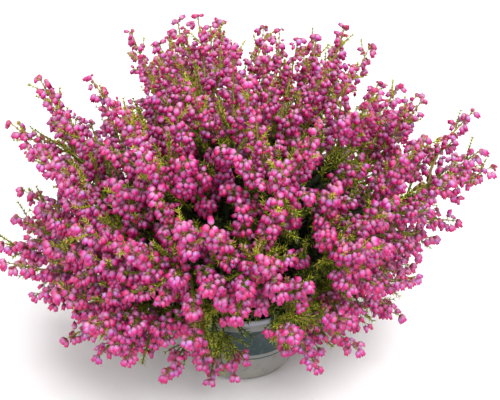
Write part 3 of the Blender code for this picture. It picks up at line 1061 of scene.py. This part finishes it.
# %% [markdown]
# ## Leafy branches
# The stem is bare and woody near the soil. Each shoot carries close rings of needles, and its leafy
# twigs fork again. Needles deep in the plant are made larger and fewer, and are painted dark: partly
# old growth, and partly painted shade, because they sit in shadow. Those near the outside are fine and
# painted bright, partly young growth and partly painted light. The middle of the plant is too dense to
# see through, so four ragged strands painted nearly black run along each shoot as painted shade, with
# more dark needles standing out of them.

# %% Leafy twigs that suit their place
DEEP_SHARE = 0.42
MIDDLE_SHARE = 0.66
# Each zone's needles: their size, their palette columns and the step between their rings. The deep
# zone's near-black columns are partly painted shade, and the outer zone's bright ones partly painted light
DEEP_ZONE = (1.50, DARK_NEEDLES, 0.0044)
MIDDLE_ZONE = (1.30, GREEN_NEEDLES, 0.0038)
OUTER_ZONE = (1.15, BRIGHT_NEEDLES, 0.0034)
LEAFY_HALF = 0.0018
FORK_TWIG_T = (0.35, 0.65)
FORK_TWIG_SHARE = (0.4, 0.6)
FORK_TWIG_SPREAD = 0.9
FORK_TWIG_HALF = 0.0012


def needles_at(place, limit):
    """The zone of needles at a place, by how far out it is as a share of the limit."""
    share = reach(place) / limit
    if share < DEEP_SHARE:
        return DEEP_ZONE
    return MIDDLE_ZONE if share < MIDDLE_SHARE else OUTER_ZONE


def leafy_twig(heap, stems, curve, limit, thick=LEAFY_HALF, steps=3):
    """One leafy twig, with needles that suit its place."""
    size, columns, step = needles_at(curve[2], limit)
    leafy_line(heap, stems, curve, (thick, thick / 3), step, 1.0, size, columns, steps)


def forking_twig(heap, stems, curve, limit):
    """A leafy twig with two smaller ones."""
    leafy_twig(heap, stems, curve, limit)
    if reach(curve[2]) < DEEP_SHARE * limit:
        return
    long = np.linalg.norm(curve[2] - curve[0])
    for t in FORK_TWIG_T:
        small = side_curve(curve, t, rng.uniform(0, math.tau), long * rng.uniform(*FORK_TWIG_SHARE),
                           FORK_TWIG_SPREAD)
        leafy_twig(heap, stems, small, limit, FORK_TWIG_HALF, 1)


# %% Painted shade along a shoot: dark strands for the dense old growth
CORE_T = (0.0, 0.94)
STEM_CORE_T = (0.50, 1.00)
CORE_STEPS = 9
CORE_HALF = 0.0064
CORE_STRANDS = 4
CORE_ASIDE = 0.0088
CORE_RAGGED = (0.60, 1.25)
CORE_TWIST = 1.5
CORE_FULLNESS = 0.6
# A core starts and ends at these shares of a swelling that is full in its middle
CORE_SWELL = (0.14, 1.0)
CORE_SWELL_MOST = 0.97
CORE_NEEDLES = 28
CORE_NEEDLE_SUNK = 0.6
CORE_NEEDLE_SIZE = (2.4, 1.5)
CORE_FULL_LONG = 0.12


def painted_shade_core(heap, stems, curve, share_range, stout):
    """Ragged strands painted nearly black along a curve, as painted shade in its dense old growth, with dark
    needles that stand out of them.
    """
    turn = rng.uniform(0, math.tau)
    for strand in range(CORE_STRANDS):
        points, radii = [], []
        for step in range(CORE_STEPS + 1):
            share = step / CORE_STEPS
            t = along(share_range, share)
            heading = Vector(bezier_heading(curve, t))
            swell = min(CORE_SWELL_MOST, along(CORE_SWELL, share))
            full = math.sin(math.pi * swell) ** CORE_FULLNESS * stout
            angle = turn + math.tau * strand / CORE_STRANDS + CORE_TWIST * share
            points.append(Vector(bezier(curve, t)) + around(heading, angle) * CORE_ASIDE * full)
            radii.append(CORE_HALF * full * rng.uniform(*CORE_RAGGED))
        # Each strand takes the darkest needle column, near black, as painted shade.
        stems.add_line(points, radii, DARK_NEEDLES[0])
        for _ in range(CORE_NEEDLES):
            index = rng.randrange(1, CORE_STEPS)
            place = points[index].lerp(points[index + 1], rng.random())
            way = around(Vector(bezier_heading(curve, 0.5)), rng.uniform(0, math.tau))
            place += way * radii[index] * CORE_NEEDLE_SUNK
            heap.add("needle", place, way, 0.0, *CORE_NEEDLE_SIZE, rng.randint(*DARK_NEEDLES))


# %% Dress one shoot with all its twigs
SHOOT_RING_STEP = 0.0060
SHOOT_HALVES = (0.0028, 0.0016)
FLOWERS_FROM = 0.40
INNER_BUDS = 0.08
INNER_STEM_HALF = 0.0014


def dress_shoot(heap, stems, shoot):
    """Needles along a shoot, and all the twigs that were planned for it."""
    curve, limit = shoot["curve"], shoot["limit"] * shoot["head"]["size"]
    if shoot["head"]["size"] == 1.0:
        span = np.linalg.norm(curve[-1] - curve[0])
        painted_shade_core(heap, stems, curve, CORE_T, min(1.0, span / CORE_FULL_LONG))
    size, columns, _ = needles_at(bezier(curve, 0.5), limit)
    leafy_line(heap, stems, curve, SHOOT_HALVES, SHOOT_RING_STEP, 1.0, size, columns, steps=7)
    for twig in shoot["leafy"]:
        forking_twig(heap, stems, twig, limit)
    for twig in shoot["flowering"]:
        flowering_stem(heap, stems, twig, INNER_STEM_HALF, 1.0, FLOWERS_FROM, INNER_BUDS)
    for twig in shoot["filling"]:
        leafy_twig(heap, stems, twig, limit)


# %% Make the branches
STEM_TWIG_T = (0.50, 0.62, 0.74, 0.86, 0.97)
STEM_TWIG_LONG = (0.026, 0.042)
STEM_TWIG_SPREAD = 1.2
STEM_STEPS = 8
STEM_HALVES = (0.0021, 0.0015)
FORK_HALVES = (0.0014, 0.0012)
FORK_JOIN_T = (0.0, 0.06)
FRONT_CLEAR = -0.040

for branch in plant:
    rng.seed(branch["name"])
    heap, stems = Heap(), Stems()
    line = [bezier(branch["stem"], step / STEM_STEPS) for step in range(STEM_STEPS + 1)]
    stems.add(line, *STEM_HALVES)
    for t in STEM_TWIG_T:
        twig = side_curve(branch["stem"], t, rng.uniform(0, math.tau), rng.uniform(*STEM_TWIG_LONG),
                          STEM_TWIG_SPREAD)
        if twig[2][1] > FRONT_CLEAR:
            forking_twig(heap, stems, twig, branch["shoots"][0]["limit"])
    painted_shade_core(heap, stems, branch["stem"], STEM_CORE_T, 1.0)
    for shoot in branch["shoots"]:
        stems.add([branch["fork"], *(bezier(shoot["curve"], t) for t in FORK_JOIN_T)], *FORK_HALVES)
        dress_shoot(heap, stems, shoot)
    name = branch["name"].replace("branch", "leaves")
    triangles[name] = finish_piece(name, build_mesh(name, heap, stems), branch["name"])
print("with branches", sum(triangles.values()), "largest piece", max(triangles.values()))
print("copies", copies_made)

# %% [markdown]
# ## The pot
# One thin shell of moulded plastic. The frame's pot has few sides, so a finer one is spun from the
# same profile, with its wall run through a smooth curve and the lip rolled over. Its drain holes are
# cut with a Boolean, and the cutter is then taken away.

# %% Spin the pot
POT_SIDES = 96
POT_OUTSIDE = [(0.0, 0.0), (0.0360, 0.0), (0.0412, 0.0028), (0.0452, 0.0085), (0.0485, 0.0180),
               (0.0506, 0.0330), (0.0511, 0.0500), (0.0514, 0.0660)]
POT_LIP = [(0.0525, 0.0668), (0.0525, 0.0698), (0.0518, 0.0710), (0.0506, 0.0710), (0.0499, 0.0698)]
POT_INSIDE = [(0.0492, 0.0330), (0.0471, 0.0180), (0.0438, 0.0085), (0.0380, 0.0016), (0.0, 0.0016)]
WALL_STEPS = 4
LIP_STEPS = 3
INSIDE_STEPS = 2
DRAIN_RADIUS = 0.0035
DRAIN_RING = 0.0240
DRAIN_COUNT = 4
DRAIN_SIDES = 24
DRAIN_LONG = 0.012
SHARP_EDGE = math.radians(40)


def smooth_profile(points, steps):
    """More points along a smooth curve through the given ones."""
    points = [np.array(point) for point in points]
    padded = [2 * points[0] - points[1], *points, 2 * points[-1] - points[-2]]
    smooth = []
    for a, b, c, d in zip(padded, padded[1:], padded[2:], padded[3:]):
        for step in range(steps):
            t = step / steps
            smooth.append(0.5 * (2 * b + (c - a) * t + (2 * a - 5 * b + 4 * c - d) * t * t
                                 + (3 * b - a - 3 * c + d) * t ** 3))
    smooth.append(points[-1])
    return [tuple(point) for point in smooth]


def to_mesh(name, bm):
    """A bmesh as a smooth mesh with its hard edges kept sharp."""
    mesh = bpy.data.meshes.new(name)
    bm.to_mesh(mesh)
    bm.free()
    mesh.shade_smooth()
    mesh.set_sharp_from_angle(angle=SHARP_EDGE)
    return mesh


profile = (POT_OUTSIDE[:1] + smooth_profile(POT_OUTSIDE[1:], WALL_STEPS)
           + smooth_profile(POT_LIP, LIP_STEPS) + smooth_profile(POT_INSIDE[:-1], INSIDE_STEPS)
           + POT_INSIDE[-1:])
pot = add_object("pot_shell", to_mesh("pot_shell", spun(profile, POT_SIDES)))

# %% Cut the drain holes
bm = bmesh.new()
for index in range(DRAIN_COUNT):
    turn = math.tau * (index + 0.5) / DRAIN_COUNT
    middle = Matrix.Translation((DRAIN_RING * math.cos(turn), DRAIN_RING * math.sin(turn), 0.0))
    bmesh.ops.create_cone(bm, cap_ends=True, segments=DRAIN_SIDES, radius1=DRAIN_RADIUS,
                          radius2=DRAIN_RADIUS, depth=DRAIN_LONG, matrix=middle)
cutter = add_object("drain_cutter", to_mesh("drain_cutter", bm))
cut = pot.modifiers.new("drains", "BOOLEAN")
cut.operation = "DIFFERENCE"
cut.solver = "EXACT"
cut.object = cutter
cut_mesh = bpy.data.meshes.new_from_object(pot.evaluated_get(bpy.context.evaluated_depsgraph_get()))
pot.modifiers.clear()
pot.data = cut_mesh
bpy.data.objects.remove(cutter)
cut_mesh.set_sharp_from_angle(angle=SHARP_EDGE)
triangles["pot"] = count_triangles(cut_mesh)
print("pot triangles", triangles["pot"])

# %% [markdown]
# ## Pot plastic
# Thin grey plastic with a slight sheen, a little warmer low down. The rolled lip is paler. A plain
# dark band with a thin line under it is printed round the wall, a little worn, and some soil has dried
# on near the base. All of it reads the height and a few noises on object coordinates.

# %% Colour the pot
BAND = (0.0345, 0.0595)
LINE = (0.0300, 0.0310)
LIP_FROM = 0.0665
HEIGHT_SPAN = 0.0800
PRINT_EDGE = 0.0002
PRINT_WANDER = 0.0009
GREY_LOW = (0.255, 0.245, 0.215)
GREY_HIGH = (0.225, 0.235, 0.225)
LIP_GREY = (0.36, 0.37, 0.44)
BAND_COLOUR = (0.007, 0.034, 0.036)
DRIED_SOIL = (0.075, 0.052, 0.034)


def roughen(tree, shader, scale, detail, strength, distance):
    """A fine bump from a noise."""
    bump = tree.nodes.new("ShaderNodeBump")
    bump.inputs["Strength"].default_value = strength
    bump.inputs["Distance"].default_value = distance
    tree.links.new(noise(tree, scale, detail), bump.inputs["Height"])
    tree.links.new(bump.outputs["Normal"], shader.inputs["Normal"])


def solid_colour(tree, colour):
    """A colour socket that holds one colour."""
    node = tree.nodes.new("ShaderNodeRGB")
    node.outputs["Color"].default_value = (*colour, 1.0)
    return node.outputs["Color"]


def between(tree, height, low, high):
    """One between two heights and nought elsewhere, with a narrow soft edge."""
    stops = [(low - PRINT_EDGE, 0.0), (low, 1.0), (high, 1.0), (high + PRINT_EDGE, 0.0)]
    return grey_ramp(tree, height, [(place / HEIGHT_SPAN, level) for place, level in stops])


plastic, tree, shader = principled("grey_plastic", roughness=0.42)
coordinates = tree.nodes.new("ShaderNodeTexCoord")
split = tree.nodes.new("ShaderNodeSeparateXYZ")
tree.links.new(coordinates.outputs["Object"], split.inputs["Vector"])
wander = math_node(tree, "MULTIPLY", math_node(tree, "SUBTRACT", noise(tree, 260.0), 0.5), PRINT_WANDER)
height = math_node(tree, "DIVIDE", math_node(tree, "ADD", split.outputs["Z"], wander), HEIGHT_SPAN)
grey = ramp_node(tree, height, [(0.05, GREY_LOW), (0.55, GREY_HIGH)])
grey = mix_node(tree, "MULTIPLY", 1.0, grey, mottle(tree, 38.0, 0.90, 1.08))
worn = grey_ramp(tree, noise(tree, 300.0, 4.0), [(0.25, 0.80), (0.50, 1.0)])
for low, high in (BAND, LINE):
    printed = mix_node(tree, "MULTIPLY", 1.0, between(tree, height, low, high), worn)
    grey = mix_node(tree, "MIX", printed, grey, solid_colour(tree, BAND_COLOUR))
lip = between(tree, height, LIP_FROM, RIM_HEIGHT + 0.002)
grey = mix_node(tree, "MIX", lip, grey, solid_colour(tree, LIP_GREY))
low_down = grey_ramp(tree, height, [(0.10, 1.0), (0.48, 0.0)])
smudges = grey_ramp(tree, noise(tree, 95.0, 5.0), [(0.54, 0.0), (0.66, 0.85)])
smudges = mix_node(tree, "MULTIPLY", 1.0, smudges, low_down)
grey = mix_node(tree, "MIX", smudges, grey, solid_colour(tree, DRIED_SOIL))
tree.links.new(grey, shader.inputs["Base Color"])
sheen = grey_ramp(tree, noise(tree, 60.0, 3.0), [(0.3, 0.36), (0.7, 0.56)])
tree.links.new(sheen, shader.inputs["Roughness"])
roughen(tree, shader, 900.0, 3.0, 0.12, 0.0004)
cut_mesh.materials.clear()
cut_mesh.materials.append(plastic)
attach(pot, "root")
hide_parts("pot")

# %% [markdown]
# ## The peat
# Dark, crumbly and damp. The frame's plug gives its place. Its top is spun in close rings and each
# point is lifted or sunk by a noise, and crumbs are pressed into it. The wall and base are hidden in
# the pot and stay smooth.

# %% Make the peat
SOIL_TOP = (0.0622, 0.0590)
SOIL_RADIUS = 0.0491
SOIL_WALL = [(0.0488, 0.0330), (0.0434, 0.0085), (0.0376, 0.0019), (0.0, 0.0019)]
SOIL_RINGS = 16
SOIL_SIDES = 72
LUMP_SCALE = 190.0
LUMP_HIGH = 0.0016
CRUMBS = 260
CRUMB_SIZE = (0.0006, 0.0017)
CRUMB_INSIDE = 0.96
CRUMB_WIDE = (0.8, 1.4)
CRUMB_HIGH = (0.5, 0.9)
RIM_CLEAR = 1e-5

rng.seed("peat")
top = [(SOIL_RADIUS * step / SOIL_RINGS, along(SOIL_TOP, step / SOIL_RINGS))
       for step in range(SOIL_RINGS + 1)]
bm = spun(top + SOIL_WALL, SOIL_SIDES)
for vertex in bm.verts:
    if vertex.co.z > SOIL_TOP[1] + RIM_CLEAR:
        vertex.co.z += LUMP_HIGH * lumps.noise(vertex.co * LUMP_SCALE)
for _ in range(CRUMBS):
    away, turn = SOIL_RADIUS * CRUMB_INSIDE * math.sqrt(rng.random()), rng.uniform(0, math.tau)
    height = along(SOIL_TOP, away / SOIL_RADIUS)
    place = Matrix.Translation((away * math.cos(turn), away * math.sin(turn), height))
    squash = Matrix.Diagonal((*(rng.uniform(*span) for span in (CRUMB_WIDE, CRUMB_WIDE, CRUMB_HIGH)), 1.0))
    bmesh.ops.create_icosphere(bm, subdivisions=1, radius=rng.uniform(*CRUMB_SIZE), matrix=place @ squash)
soil_mesh = to_mesh("peat_plug", bm)
triangles["peat"] = count_triangles(soil_mesh)
print("peat triangles", triangles["peat"])

# %% Colour the peat
peat, tree, shader = principled("peat", roughness=0.92)
tree.links.new(ramp_node(tree, noise(tree, 520.0, 5.0), [
    (0.25, (0.006, 0.004, 0.003)), (0.55, (0.022, 0.014, 0.009)), (0.75, (0.060, 0.038, 0.022))]),
    shader.inputs["Base Color"])
roughen(tree, shader, 1400.0, 4.0, 0.6, 0.0008)
soil_mesh.materials.append(peat)
soil = add_object("peat_plug", soil_mesh)
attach(soil, "root")
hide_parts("soil")

# %% Write the sizes and finish
print("all triangles", sum(triangles.values()))
